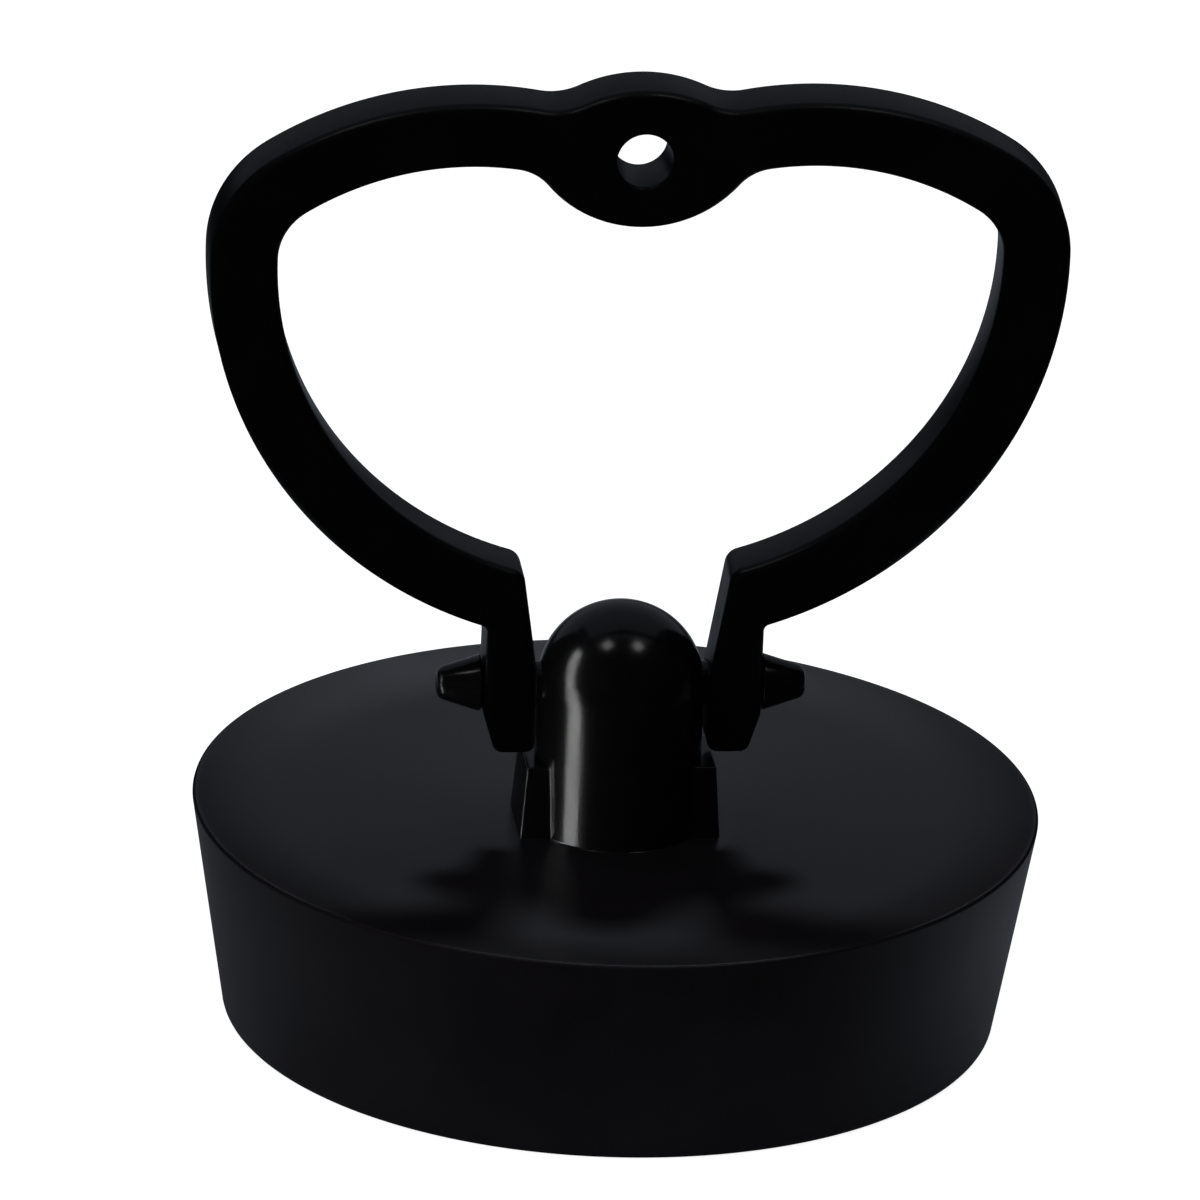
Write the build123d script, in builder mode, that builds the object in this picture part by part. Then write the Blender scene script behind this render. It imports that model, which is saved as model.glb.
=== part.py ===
"""Basin stopper: a tapered rubber plug, a domed post snapped through it, and a heart-shaped bail on the post.

The origin is the middle of the plug's underside, +Z points up through the post, and the hinge runs along X.
The bail is drawn standing upright, in the plane of the hinge. Lengths are in millimetres, angles in degrees.
"""

from build123d import *
from math import acos, asin, cos, degrees, radians, sin, sqrt
import os

# Rubber plug
plug_top_diameter = 45.2
plug_bottom_diameter = 41.0
plug_thickness = 12.0
plug_top_edge_radius = 0.3
plug_bottom_edge_radius = 0.5
dish_depth = 1.15
seat_diameter = 13.0
recess_diameter = 15.0
recess_depth = 5.0
recess_edge_radius = 0.5

# Post
post_diameter = 8.9
post_skirt = 0.5
hinge_above_plug = 6.85
wing_reach = 0.9
wing_depth = 5.0
wing_edge_radius = 0.6
wing_draft = 4.0
stem_diameter = 6.6
foot_diameter = 10.6
foot_rim_height = 0.9
foot_tip_diameter = 6.2
foot_above_base = 0.9
core_diameter = 3.0
core_depth = 8.0

# Hinge stubs, moulded with the post
stub_diameter = 2.3
barb_diameter = 3.1
barb_tip_diameter = 1.4
barb_length = 2.35
barb_tip_radius = 0.4

# Heart-shaped bail, measured from the hinge
bail_width = 45.8
bail_thickness = 3.6
bar_width = 3.6
bail_edge_radius = 0.5
crown_height = 31.9
crown_offset_share = 0.43
crown_angle = 32.7
shoulder_radius = 4.9
side_radius = 20.4

# Chain eye at the middle of the crown
eye_width = 12.6
eye_above_bar = 2.9
eye_below_bar = 0.7
eye_tip_drop = 0.5
eye_top_blend = 3.4
eye_bottom_blend = 2.6
chain_hole_diameter = 3.0
chain_hole_below_top = 3.9
chain_hole_edge = 0.2

# Ears at the ends of the bail
ear_thickness = 2.65
ear_drop = 3.45
ear_taper_drop = 1.3
ear_narrowing = 0.65
ear_flare = 0.95
ear_flare_start = 0.9
elbow_radius = 0.9
elbow_notch_radius = 0.35
ear_corner_radius = 0.55

# Fits
hinge_clearance = 0.05
ear_clearance = 0.3
barb_clearance = 0.1
stem_clearance = 0.05
wing_clearance = 0.3
overrun = 1.0

# Places worked out from the sizes above
plug_top_radius = plug_top_diameter / 2
plug_bottom_radius = plug_bottom_diameter / 2
seat_height = plug_thickness - dish_depth
hinge_height = plug_thickness + hinge_above_plug
post_radius = post_diameter / 2
stem_radius = stem_diameter / 2
stub_radius = stub_diameter / 2
half_bar = bar_width / 2
half_thickness = bail_thickness / 2
ear_inside = post_radius + ear_clearance
ear_outside = ear_inside + ear_thickness

# The ears' lower corners turn inside this radius, and the wings end below it.
ear_corner_out = half_thickness - bail_edge_radius
ear_corner_down = ear_drop - bail_edge_radius
ear_sweep = sqrt(ear_corner_out**2 + ear_corner_down**2) + bail_edge_radius
wing_top = hinge_height - ear_sweep - wing_clearance

bail_plane = Plane(origin=(0, 0, hinge_height), x_dir=(1, 0, 0), z_dir=(0, -1, 0))
hinge_axis = Axis((0, 0, hinge_height), (1, 0, 0))

os.makedirs("parts", exist_ok=True)


# Rubber plug: one turned profile, dished on top and stepped inside for the post's stem and foot.
bore_radius = stem_radius + stem_clearance
recess_radius = recess_diameter / 2
seat_radius = seat_diameter / 2

with BuildPart() as rubber_plug:
    with BuildSketch(Plane.XZ) as plug_profile:
        with BuildLine():
            bore_wall = Line((bore_radius, recess_depth), (bore_radius, seat_height))
            seat = Line(bore_wall @ 1, (seat_radius, seat_height))
            dish = Line(seat @ 1, (plug_top_radius, plug_thickness))
            side = Line(dish @ 1, (plug_bottom_radius, 0))
            underside = Line(side @ 1, (recess_radius, 0))
            recess_wall = Line(underside @ 1, (recess_radius, recess_depth))
            Line(recess_wall @ 1, bore_wall @ 0)
        make_face()
        rim_rounds = (
            (dish @ 1, plug_top_edge_radius),
            (side @ 1, plug_bottom_edge_radius),
            (underside @ 1, recess_edge_radius),
        )
        for rim, rim_radius in rim_rounds:
            fillet(plug_profile.vertices().sort_by_distance(rim)[0], rim_radius)
    revolve(axis=Axis.Z)


# Post: column, dome, stem and barbed foot in one turned profile, with two wings and the hinge stubs.
foot_radius = foot_diameter / 2
foot_tip_radius = foot_tip_diameter / 2
foot_top = recess_depth - stem_clearance
foot_bottom = foot_above_base
barb_start = ear_outside + barb_clearance
barb_end = barb_start + barb_length

with BuildPart() as post:
    with BuildSketch(Plane.XZ):
        with BuildLine():
            dome = CenterArc((0, hinge_height), post_radius, 90, -90)
            column = Line(dome @ 1, (post_radius, seat_height + post_skirt))
            skirt = CenterArc((post_radius + post_skirt, seat_height + post_skirt), post_skirt, 180, 90)
            shoulder = Line(skirt @ 1, (stem_radius, seat_height))
            stem = Line(shoulder @ 1, (stem_radius, foot_top))
            foot_shoulder = Line(stem @ 1, (foot_radius, foot_top))
            foot_rim = Line(foot_shoulder @ 1, (foot_radius, foot_top - foot_rim_height))
            foot_cone = Line(foot_rim @ 1, (foot_tip_radius, foot_bottom))
            foot_end = Line(foot_cone @ 1, (0, foot_bottom))
            Line(foot_end @ 1, dome @ 0)
        make_face()
    revolve(axis=Axis.Z)
    with BuildSketch(Plane.XY.offset(seat_height)):
        RectangleRounded(post_diameter + 2 * wing_reach, wing_depth, wing_edge_radius)
    extrude(amount=wing_top - seat_height, taper=wing_draft)
    with BuildSketch(bail_plane):
        with BuildLine():
            stub_end = Line((0, stub_radius), (barb_start, stub_radius))
            barb_face = Line(stub_end @ 1, (barb_start, barb_diameter / 2))
            barb_cone = Line(barb_face @ 1, (barb_end, barb_tip_diameter / 2))
            barb_tip = Line(barb_cone @ 1, (barb_end, 0))
            Line(barb_tip @ 1, (0, 0))
            Line((0, 0), (0, stub_radius))
        make_face()
    revolve(axis=hinge_axis)
    barb_tips = post.edges().filter_by(GeomType.CIRCLE).sort_by(Axis.X)[-1]
    fillet(barb_tips, barb_tip_radius)
    split(bisect_by=Plane.YZ, keep=Keep.TOP)
    mirror(about=Plane.YZ)
    with BuildSketch(Plane.XY.offset(foot_bottom)):
        Circle(core_diameter / 2)
    extrude(amount=core_depth, mode=Mode.SUBTRACT)


# Heart-shaped bail: crown, shoulder and side are three tangent arcs, and the bar keeps its width along them.
widest = bail_width / 2 - half_bar
shoulder_x = widest - shoulder_radius
crown_offset = crown_offset_share * widest
crown_radius = shoulder_radius + (shoulder_x - crown_offset) / sin(radians(crown_angle))
crown_z = crown_height - crown_radius
shoulder_z = crown_z + (crown_radius - shoulder_radius) * cos(radians(crown_angle))
side_x = widest - side_radius

crown_centre = (crown_offset, crown_z)
shoulder_centre = (shoulder_x, shoulder_z)
side_centre = (side_x, shoulder_z)

crown_outer = crown_radius + half_bar
crown_inner = crown_radius - half_bar
shoulder_outer = shoulder_radius + half_bar
shoulder_inner = shoulder_radius - half_bar
side_outer = side_radius + half_bar
side_inner = side_radius - half_bar

# The eye's boss is a lens of two arcs, set by how far it stands above and below the bar at the middle.
eye_tip_x = eye_width / 2
eye_tip_height = crown_z + sqrt(crown_radius**2 - (crown_offset - eye_tip_x) ** 2) - eye_tip_drop
eye_top = crown_z + sqrt(crown_outer**2 - crown_offset**2) + eye_above_bar
eye_bottom = crown_z + sqrt(crown_inner**2 - crown_offset**2) - eye_below_bar
chain_hole_height = eye_top - chain_hole_below_top

# Turns of the arcs, in degrees: the crown's from its top to the middle plane, the side's down to the ear
outer_dip = degrees(asin(crown_offset / crown_outer))
inner_dip = degrees(asin(crown_offset / crown_inner))
outer_turn = degrees(acos((ear_outside - side_x) / side_outer))
inner_turn = degrees(acos((ear_inside + ear_flare - side_x) / side_inner))

with BuildPart() as heart_bail:
    with BuildSketch(bail_plane) as bail_outline:
        with BuildLine():
            crown_out = CenterArc(crown_centre, crown_outer, 90 + outer_dip, -outer_dip - crown_angle)
            shoulder_out = CenterArc(shoulder_centre, shoulder_outer, 90 - crown_angle, crown_angle - 90)
            side_out = CenterArc(side_centre, side_outer, 0, -outer_turn)
            ear_side = Line(side_out @ 1, (ear_outside, -ear_taper_drop))
            ear_slope = Line(ear_side @ 1, (ear_outside - ear_narrowing, -ear_drop))
            ear_end = Line(ear_slope @ 1, (ear_inside, -ear_drop))
            ear_face = Line(ear_end @ 1, (ear_inside, ear_flare_start))
            side_in = CenterArc(side_centre, side_inner, -inner_turn, inner_turn)
            Line(ear_face @ 1, side_in @ 0)
            shoulder_in = CenterArc(shoulder_centre, shoulder_inner, 0, 90 - crown_angle)
            crown_in = CenterArc(crown_centre, crown_inner, 90 - crown_angle, inner_dip + crown_angle)
            Line(crown_in @ 1, crown_out @ 0)
        make_face()
        corners = bail_outline.vertices()
        elbow = corners.sort_by_distance(side_in @ 0)[0]
        fillet(elbow, elbow_radius)
        notch = bail_outline.vertices().sort_by_distance(side_out @ 1)[0]
        fillet(notch, elbow_notch_radius)
        ear_corners = bail_outline.vertices().group_by(Axis.Y)[0]
        fillet(ear_corners, ear_corner_radius)
        mirror(about=Plane.YZ)
        with BuildLine():
            left_tip = (-eye_tip_x, eye_tip_height)
            right_tip = (eye_tip_x, eye_tip_height)
            ThreePointArc(left_tip, (0, eye_top), right_tip)
            ThreePointArc(right_tip, (0, eye_bottom), left_tip)
        make_face()
        eye_notches = bail_outline.vertices().filter_by_position(Axis.X, -eye_tip_x, eye_tip_x)
        eye_notches = eye_notches.filter_by_position(Axis.Y, eye_bottom, eye_top)
        fillet(eye_notches.group_by(Axis.Y)[-1], eye_top_blend)
        eye_notches = bail_outline.vertices().filter_by_position(Axis.X, -eye_tip_x, eye_tip_x)
        eye_notches = eye_notches.filter_by_position(Axis.Y, eye_bottom, eye_tip_height)
        fillet(eye_notches, eye_bottom_blend)
    extrude(amount=half_thickness, both=True)
    rims = heart_bail.edges().group_by(Axis.Y)
    fillet(rims[0] + rims[-1], bail_edge_radius)
    with BuildSketch(bail_plane.offset(-half_thickness)):
        with Locations((0, chain_hole_height)):
            Circle(chain_hole_diameter / 2)
    extrude(amount=bail_thickness, mode=Mode.SUBTRACT)
    fillet(heart_bail.edges(Select.LAST).filter_by(GeomType.CIRCLE), chain_hole_edge)
    with BuildSketch(Plane(origin=(0, 0, hinge_height), x_dir=(0, 1, 0), z_dir=(1, 0, 0))):
        Circle(stub_radius + hinge_clearance)
    extrude(amount=ear_outside + overrun, both=True, mode=Mode.SUBTRACT)


for name, piece in (("rubber_plug", rubber_plug), ("post", post), ("heart_bail", heart_bail)):
    piece.part.label = name
    export_step(piece.part, f"parts/{name}.step")
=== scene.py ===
"""Looks of a basin stopper: a black rubber plug, a polished post and a swinging heart-shaped bail.

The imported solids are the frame. Each of the three mouldings is modelled again here with finer curves, in
millimetres, and is turned into metres when its mesh is finished. +Z is up and the hinge runs along X.
"""

import logging
import math
from dataclasses import dataclass
from enum import Enum
from typing import ClassVar

import bmesh
import bpy
from mathutils import Matrix, Vector


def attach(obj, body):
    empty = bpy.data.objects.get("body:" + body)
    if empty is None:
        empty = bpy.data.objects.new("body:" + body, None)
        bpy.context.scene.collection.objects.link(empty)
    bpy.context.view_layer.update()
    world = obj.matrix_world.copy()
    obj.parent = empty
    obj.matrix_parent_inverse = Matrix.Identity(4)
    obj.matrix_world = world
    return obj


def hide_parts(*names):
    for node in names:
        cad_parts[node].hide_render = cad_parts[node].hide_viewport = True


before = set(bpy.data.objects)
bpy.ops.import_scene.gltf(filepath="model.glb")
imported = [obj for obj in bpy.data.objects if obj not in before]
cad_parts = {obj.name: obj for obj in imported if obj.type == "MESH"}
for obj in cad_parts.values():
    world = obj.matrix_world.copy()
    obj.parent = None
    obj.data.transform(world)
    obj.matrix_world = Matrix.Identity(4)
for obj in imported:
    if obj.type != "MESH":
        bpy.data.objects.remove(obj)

Point = Vector | tuple[float, float]
Colour = tuple[float, float, float]
Span = tuple[float, float]
Value = bpy.types.NodeSocket | float | tuple[float, ...]

MILLIMETRE = 0.001
MERGE_MILLIMETRES = 0.0005
JOIN_METRES = 0.000002
SMOOTH_ANGLE = math.radians(32)
CAP_CORNERS = 8
ORIGIN = Vector((0, 0, 0))
UP = Vector((0, 0, 1))
ALONG_HINGE = Vector((1, 0, 0))

log = logging.getLogger("basin_stopper")


class Body(Enum):
    """The two rigid bodies of the frame."""

    PLUG = "plug"
    BAIL = "bail"


class Slot(Enum):
    """The record's material slots."""

    PLUG_RUBBER = "plug_rubber"
    POST_PLASTIC = "post_plastic"
    BAIL_PLASTIC = "bail_plastic"


class Side(Enum):
    """The two sides of a piece or of a line."""

    LEFT = "left"
    RIGHT = "right"


class Joining(Enum):
    """How solids are put to a base solid."""

    ADDED = "UNION"
    CUT_OUT = "DIFFERENCE"


class Role(Enum):
    """What the pieces that a lamp is kept to are for it."""

    RECEIVER = "receiver"
    BLOCKER = "blocker"


class Sum(Enum):
    """What a math node works out."""

    PLUS = "ADD"
    TIMES = "MULTIPLY"
    LARGEST = "MAXIMUM"
    WITHOUT_SIGN = "ABSOLUTE"


@dataclass(frozen=True)
class Circle:
    """A circle in a drawing plane, by its centre and radius."""

    across: float
    up: float
    radius: float

    @property
    def centre(self) -> Vector:
        """The centre as a 2-D point."""
        return Vector((self.across, self.up))

    def towards(self, point: Vector) -> Vector:
        """The point of the circle that lies nearest to another point."""
        return self.centre + (point - self.centre).normalized() * self.radius

    def grown(self, amount: float) -> "Circle":
        """The same circle with a larger or smaller radius."""
        return Circle(self.across, self.up, self.radius + amount)

    def flipped(self) -> "Circle":
        """The same circle on the other side of the line across."""
        return Circle(self.across, -self.up, self.radius)

    def above(self, across: float) -> Vector:
        """The upper point of the circle at a place across."""
        return Vector((across, self.up + self._rise(across)))

    def below(self, across: float) -> Vector:
        """The lower point of the circle at a place across."""
        return Vector((across, self.up - self._rise(across)))

    def _rise(self, across: float) -> float:
        """How far above and below its centre the circle passes at a place across."""
        return math.sqrt(self.radius**2 - (across - self.across) ** 2)


Arc = tuple[Vector, Circle, Vector]


def flipped(point: Vector) -> Vector:
    """The same point on the other side of the line across."""
    return Vector((point.x, -point.y))


def circles_meet(first: Circle, second: Circle, side: Side) -> Vector:
    """Finds a point that lies on two circles.

    Args:
        first: One circle.
        second: The other circle.
        side: The side of the way from the first centre to the second on which the point lies.

    Returns:
        The point where the circles cross.
    """
    way = second.centre - first.centre
    gap = way.length
    along = (first.radius**2 - second.radius**2 + gap**2) / (2 * gap)
    aside = math.sqrt(first.radius**2 - along**2)
    unit = way / gap
    left = Vector((-unit.y, unit.x))
    return first.centre + unit * along + left * (aside if side is Side.LEFT else -aside)


def rounded_corner(before: Vector, corner: Vector, after: Vector, radius: float) -> Arc:
    """Finds the arc that rounds the corner of two straight runs.

    Args:
        before: A point of the run that comes to the corner.
        corner: The sharp corner.
        after: A point of the run that leaves it.
        radius: The arc's radius.

    Returns:
        The arc's first point, its circle and its last point.
    """
    back = (before - corner).normalized()
    ahead = (after - corner).normalized()
    half = back.angle(ahead) / 2
    middle = corner + (back + ahead).normalized() * (radius / math.sin(half))
    reach = radius / math.tan(half)
    return corner + back * reach, Circle(middle.x, middle.y, radius), corner + ahead * reach


class Pen:
    """Draws a chain of straight runs and arcs in the XZ plane of a bmesh, for a profile or an outline."""

    def __init__(self, bm: bmesh.types.BMesh, start: Point) -> None:
        """Puts the pen down.

        Args:
            bm: The mesh to draw in.
            start: The first point, as (x, z).
        """
        self.bm = bm
        self.first = bm.verts.new((start[0], 0, start[1]))
        self.tip = self.first

    @property
    def place(self) -> Vector:
        """Where the pen stands, as (x, z)."""
        return Vector((self.tip.co.x, self.tip.co.z))

    def line(self, *points: Point) -> None:
        """Draws straight runs from point to point.

        Args:
            points: The points in order, each as (x, z).
        """
        for point in points:
            vert = self.bm.verts.new((point[0], 0, point[1]))
            self.bm.edges.new((self.tip, vert))
            self.tip = vert

    def arc(self, circle: Circle, end: Point, steps: int, clockwise: bool) -> None:
        """Draws an arc of a circle from the pen's place to a point of the same circle.

        Args:
            circle: The circle that the pen stands on.
            end: The arc's last point, as (x, z).
            steps: How many straight pieces the arc has.
            clockwise: Whether the arc turns clockwise, seen along +Y with +X to the right.
        """
        here = self.place - circle.centre
        there = Vector((end[0], end[1])) - circle.centre
        turn = (math.atan2(there.y, there.x) - math.atan2(here.y, here.x)) % math.tau
        if clockwise:
            turn -= math.tau
        made = bmesh.ops.spin(
            self.bm,
            geom=[self.tip],
            cent=(circle.across, 0, circle.up),
            axis=(0, -1, 0),
            dvec=(0, 0, 0),
            angle=turn,
            steps=steps,
            use_duplicate=False,
        )
        self.tip = next(g for g in made["geom_last"] if isinstance(g, bmesh.types.BMVert))

    def corner(self, before: Vector, corner: Vector, after: Vector, radius: float, steps: int) -> None:
        """Draws a straight run to a corner that turns clockwise, and the arc that rounds the corner.

        Args:
            before: A point of the run that comes to the corner.
            corner: The sharp corner.
            after: A point of the run that leaves it.
            radius: The arc's radius.
            steps: How many straight pieces the arc has.
        """
        start, circle, end = rounded_corner(before, corner, after, radius)
        self.line(start)
        self.arc(circle, end, steps, clockwise=True)

    def close(self) -> None:
        """Joins the chain's two ends."""
        self.bm.edges.new((self.tip, self.first))

    def fill(self) -> bmesh.types.BMFace:
        """Joins the chain's two ends and fills it with one face."""
        self.close()
        return bmesh.ops.contextual_create(self.bm, geom=self.bm.edges[:])["faces"][0]


def rounded_rim(bm: bmesh.types.BMesh, face: bmesh.types.BMFace, radius: float, steps: int) -> None:
    """Rounds the rim of a flat cap: the cap rises by the radius and draws in by it along a quarter circle.

    Args:
        bm: The cap's mesh.
        face: The flat face at the level where the wall ends.
        radius: The rounding's radius.
        steps: How many strips the quarter circle has.
    """
    for step in range(steps):
        low = math.radians(90 * step / steps)
        high = math.radians(90 * (step + 1) / steps)
        bmesh.ops.inset_region(
            bm,
            faces=[face],
            thickness=radius * (math.cos(low) - math.cos(high)),
            depth=radius * (math.sin(high) - math.sin(low)),
            use_boundary=True,
            use_even_offset=True,
        )


def full_turn(bm: bmesh.types.BMesh, axis: Vector, steps: int) -> None:
    """Turns every edge of a mesh once round an axis, closes the seam and the poles, and faces it outwards.

    Args:
        bm: The mesh, which holds only the profile.
        axis: The axis, through the origin.
        steps: How many strips the full turn has.
    """
    bmesh.ops.spin(
        bm,
        geom=bm.verts[:] + bm.edges[:],
        cent=ORIGIN,
        axis=axis,
        dvec=(0, 0, 0),
        angle=math.tau,
        steps=steps,
        use_merge=True,
        use_duplicate=False,
    )
    bmesh.ops.remove_doubles(bm, verts=bm.verts[:], dist=MERGE_MILLIMETRES)
    bmesh.ops.recalc_face_normals(bm, faces=bm.faces[:])


def turned(bm: bmesh.types.BMesh, degrees: float, axis: str) -> None:
    """Turns a whole mesh by an angle about the X, Y or Z axis."""
    turn = Matrix.Rotation(math.radians(degrees), 3, axis)
    bmesh.ops.rotate(bm, verts=bm.verts[:], cent=ORIGIN, matrix=turn)


def lifted(bm: bmesh.types.BMesh, height: float) -> None:
    """Lifts a whole mesh."""
    bmesh.ops.translate(bm, verts=bm.verts[:], vec=UP * height)


def placed(bm: bmesh.types.BMesh, name: str) -> bpy.types.Object:
    """Puts a finished mesh into the scene as it is.

    Args:
        bm: The mesh. It is freed.
        name: The object's name.

    Returns:
        The object at the origin.
    """
    mesh = bpy.data.meshes.new(name)
    bm.to_mesh(mesh)
    bm.free()
    made = bpy.data.objects.new(name, mesh)
    bpy.context.scene.collection.objects.link(made)
    return made


def to_metres(bm: bmesh.types.BMesh, name: str) -> bpy.types.Object:
    """Puts a finished mesh, drawn in millimetres, into the scene in metres."""
    bmesh.ops.scale(bm, vec=(MILLIMETRE,) * 3, verts=bm.verts[:])
    return placed(bm, name)


def combined(base: bpy.types.Object, tools: list[bpy.types.Object], joining: Joining) -> bpy.types.Object:
    """Joins solids to a base solid, or cuts them out of it, and removes them.

    Args:
        base: The solid that stays.
        tools: The solids to join or cut.
        joining: Whether they are added or cut out.

    Returns:
        The base with its new mesh.
    """
    for tool in tools:
        step = base.modifiers.new(tool.name, "BOOLEAN")
        step.operation = joining.value
        step.solver = "EXACT"
        step.object = tool
    bpy.context.view_layer.update()
    view = bpy.context.evaluated_depsgraph_get()
    bm = bmesh.new()
    bm.from_object(base.evaluated_get(view), view)
    base.modifiers.clear()
    bmesh.ops.remove_doubles(bm, verts=bm.verts[:], dist=JOIN_METRES)
    bmesh.ops.dissolve_degenerate(bm, dist=JOIN_METRES, edges=bm.edges[:])
    bm.to_mesh(base.data)
    bm.free()
    for tool in tools:
        tool_mesh = tool.data
        bpy.data.objects.remove(tool)
        bpy.data.meshes.remove(tool_mesh)
    return base


def smooth_shaded(piece: bpy.types.Object) -> None:
    """Shades a piece smooth, with its real edges kept sharp and its flat caps kept flat.

    Args:
        piece: The piece. A face of it with many corners is a flat cap.
    """
    mesh = piece.data
    mesh.shade_smooth()
    mesh.set_sharp_from_angle(angle=SMOOTH_ANGLE)
    for polygon in mesh.polygons:
        polygon.use_smooth = len(polygon.vertices) <= CAP_CORNERS


class Nodes:
    """Adds and joins the nodes of a material or a world."""

    def __init__(self, owner: bpy.types.Material | bpy.types.World) -> None:
        """Gives the owner an empty node tree.

        Args:
            owner: The material or the world.
        """
        owner.use_nodes = True
        self.tree = owner.node_tree
        self.tree.nodes.clear()

    def put(self, target: bpy.types.NodeSocket, value: Value) -> None:
        """Links another node's socket to an input, or sets the input to a constant.

        Args:
            target: The input.
            value: The socket or the constant.
        """
        if isinstance(value, bpy.types.NodeSocket):
            self.tree.links.new(value, target)
        else:
            target.default_value = value

    def add(self, kind: str, inputs: dict[str | int, Value] | None = None, **settings: str) -> bpy.types.Node:
        """Adds a node.

        Args:
            kind: The node's type.
            inputs: What its inputs get, by their names or places.
            settings: The node's own choices, which are set first.

        Returns:
            The node.
        """
        node = self.tree.nodes.new(kind)
        for name, choice in settings.items():
            setattr(node, name, choice)
        for name, value in (inputs or {}).items():
            self.put(node.inputs[name], value)
        return node

    def sum(self, kind: Sum, first: bpy.types.NodeSocket, *others: Value) -> bpy.types.NodeSocket:
        """Adds a math node for each further value.

        Args:
            kind: What the nodes work out.
            first: The first value.
            others: The further values, each taken with the result so far.

        Returns:
            The last result.
        """
        result = first
        for other in others:
            node = self.add("ShaderNodeMath", {0: result, 1: other}, operation=kind.value)
            result = node.outputs["Value"]
        return result

    def ranged(self, value: bpy.types.NodeSocket, source: Span, target: Span) -> bpy.types.NodeSocket:
        """Maps a value from one range to another.

        Args:
            value: The value to map.
            source: Where its range starts and ends.
            target: The results there.

        Returns:
            The mapped value, kept within the target range.
        """
        ends = {"From Min": source[0], "From Max": source[1], "To Min": target[0], "To Max": target[1]}
        return self.add("ShaderNodeMapRange", {"Value": value, **ends}).outputs["Result"]


@dataclass(frozen=True)
class Pattern:
    """A noise pattern in a piece's own coordinates.

    Its size is about the width of one patch, in metres. Its detail is the number of finer layers, and its
    stretch says how much longer its patches are along X, Y and Z.
    """

    size: float
    detail: float
    stretch: Colour = (1, 1, 1)


class SkinNodes(Nodes):
    """Adds and joins the nodes of a piece's material, which ends in a Principled shader."""

    def __init__(self, name: str) -> None:
        """Makes the material with its shader.

        Args:
            name: The material's name.
        """
        self.material = bpy.data.materials.new(name)
        super().__init__(self.material)
        self.shader = self.add("ShaderNodeBsdfPrincipled")
        self.add("ShaderNodeOutputMaterial", {"Surface": self.shader.outputs["BSDF"]})
        self.place = self.add("ShaderNodeTexCoord").outputs["Object"]

    def noise(self, pattern: Pattern) -> bpy.types.NodeSocket:
        """Adds a noise pattern.

        Args:
            pattern: The pattern.

        Returns:
            The pattern's value, about 0.5 in the middle.
        """
        scale = tuple(1 / (pattern.size * s) for s in pattern.stretch)
        mapping = self.add("ShaderNodeMapping", {"Vector": self.place, "Scale": scale})
        inputs = {"Vector": mapping.outputs["Vector"], "Scale": 1.0, "Detail": pattern.detail}
        return self.add("ShaderNodeTexNoise", inputs).outputs["Fac"]

    def mixed(self, share: bpy.types.NodeSocket, first: Colour, second: Colour) -> bpy.types.NodeSocket:
        """Mixes two colours by a share from 0 to 1."""
        inputs = {"Factor": share, "A": (*first, 1), "B": (*second, 1)}
        return self.add("ShaderNodeMix", inputs, data_type="RGBA").outputs["Result"]

    def bump(self, pattern: Pattern, depth: float) -> bpy.types.Node:
        """Adds a bump.

        Args:
            pattern: The pattern that stands for the surface's height.
            depth: How deep the pattern is, in metres.

        Returns:
            The bump node.
        """
        return self.add("ShaderNodeBump", {"Height": self.noise(pattern), "Distance": depth})


@dataclass(frozen=True, kw_only=True)
class MouldedSkin:
    """A moulded surface: patches in its colour and gloss, soft swells and a fine grain. Depths in metres."""

    name: str
    colour: Colour
    patch_colour: Colour
    roughness: Span
    specular: float
    patches: Pattern
    colour_edges: Span
    roughness_edges: Span = (0.3, 0.7)
    swells: Pattern
    swell_depth: float
    grain: Pattern
    grain_depth: float

    def build(self) -> bpy.types.Material:
        """Makes the material's nodes.

        Returns:
            The finished material.
        """
        nodes = SkinNodes(self.name)
        skin = nodes.shader.inputs
        patches = nodes.noise(self.patches)
        share = nodes.ranged(patches, self.colour_edges, (0, 1))
        nodes.put(skin["Base Color"], nodes.mixed(share, self.colour, self.patch_colour))
        nodes.put(skin["Roughness"], self._roughness(nodes, patches))
        nodes.put(skin["Specular IOR Level"], self.specular)
        soft = nodes.bump(self.swells, self.swell_depth)
        fine = nodes.bump(self.grain, self.grain_depth)
        nodes.put(fine.inputs["Normal"], soft.outputs["Normal"])
        nodes.put(skin["Normal"], fine.outputs["Normal"])
        return nodes.material

    def _roughness(self, nodes: SkinNodes, patches: bpy.types.NodeSocket) -> bpy.types.NodeSocket:
        """The roughness, which follows the patches."""
        return nodes.ranged(patches, self.roughness_edges, self.roughness)


@dataclass(frozen=True, kw_only=True)
class MouldedRubber(MouldedSkin):
    """Satin black rubber with a faint grey bloom in patches."""

    name: str = "satin_black_rubber"
    colour: Colour = (0.0062, 0.0048, 0.0064)
    patch_colour: Colour = (0.0094, 0.0076, 0.0098)
    roughness: Span = (0.39, 0.42)
    specular: float = 0.3
    patches: Pattern = Pattern(0.006, 4)
    colour_edges: Span = (0.35, 0.75)
    swells: Pattern = Pattern(0.0045, 1)
    swell_depth: float = 0.00001
    grain: Pattern = Pattern(0.00022, 3)
    grain_depth: float = 0.000003


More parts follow.
